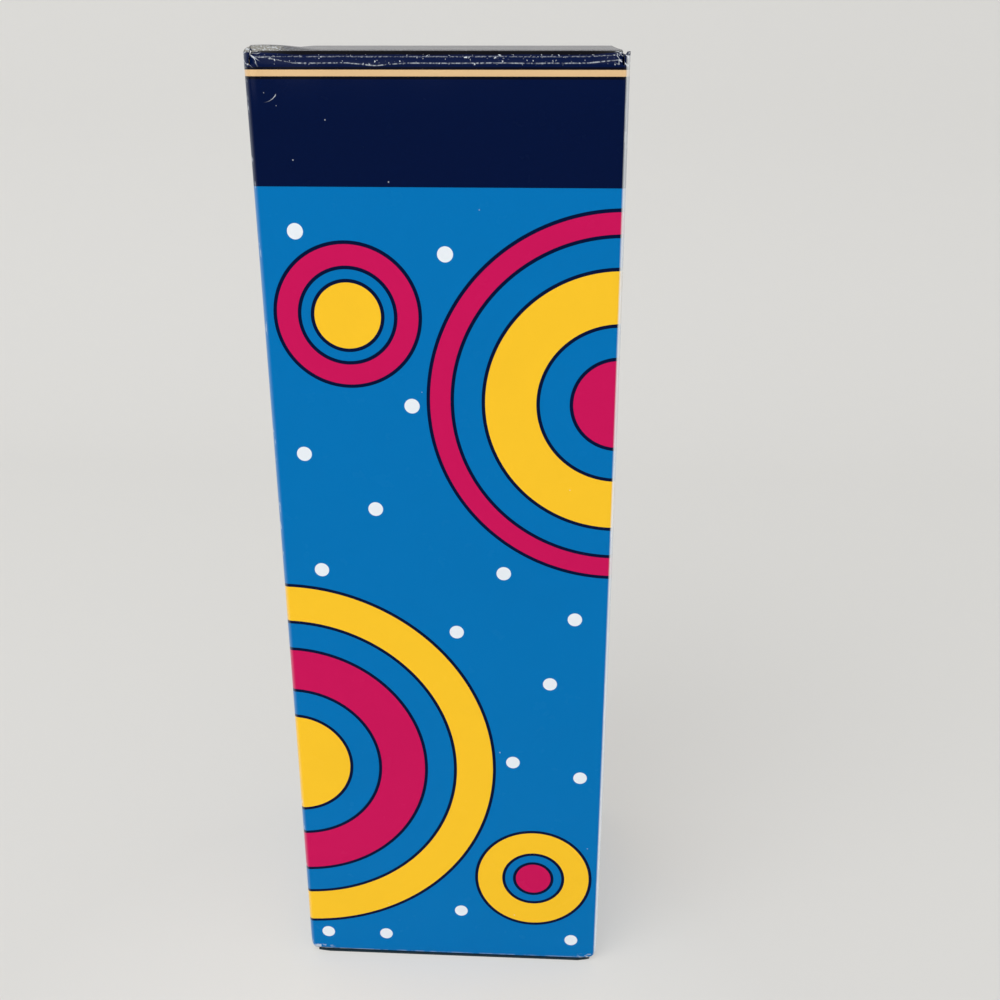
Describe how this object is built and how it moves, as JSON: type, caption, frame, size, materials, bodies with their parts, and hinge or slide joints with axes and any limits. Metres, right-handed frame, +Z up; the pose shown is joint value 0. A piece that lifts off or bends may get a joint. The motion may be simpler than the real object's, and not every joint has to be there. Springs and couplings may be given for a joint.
{
  "type": "drinking straw carton",
  "caption": "Tall printed paperboard carton with a hinged tuck lid, packed upright with flexible plastic drinking straws.",
  "frame": {"origin": "middle of the underside, on the surface the carton stands on", "axes": "+Z up along the straws, -Y towards the printed front where the lid hinges, +X to the right seen from the front"},
  "size_m": [0.0688, 0.0602, 0.2043],
  "materials": {
    "board": "satin",
    "lid_board": "satin",
    "yellow_plastic": "gloss",
    "magenta_plastic": "gloss",
    "dark_ink": "satin",
    "yellow_ink": "satin",
    "magenta_ink": "satin",
    "white_ink": "satin"
  },
  "bodies": {
    "carton": {"carton": "board", "yellow_straws_odd_rows": "yellow_plastic", "yellow_straws_even_rows": "yellow_plastic", "magenta_straws_odd_rows": "magenta_plastic", "magenta_straws_even_rows": "magenta_plastic", "print_dark": "dark_ink", "print_yellow": "yellow_ink", "print_magenta": "magenta_ink", "print_white": "white_ink"},
    "lid": {"lid": "lid_board"}
  },
  "joints": [
    {"name": "lid_hinge", "type": "hinge", "parent": "carton", "child": "lid", "pos_m": [0, -0.02789, 0.2034], "axis": [1, 0, 0], "range_deg": [0, 180]}
  ]
}
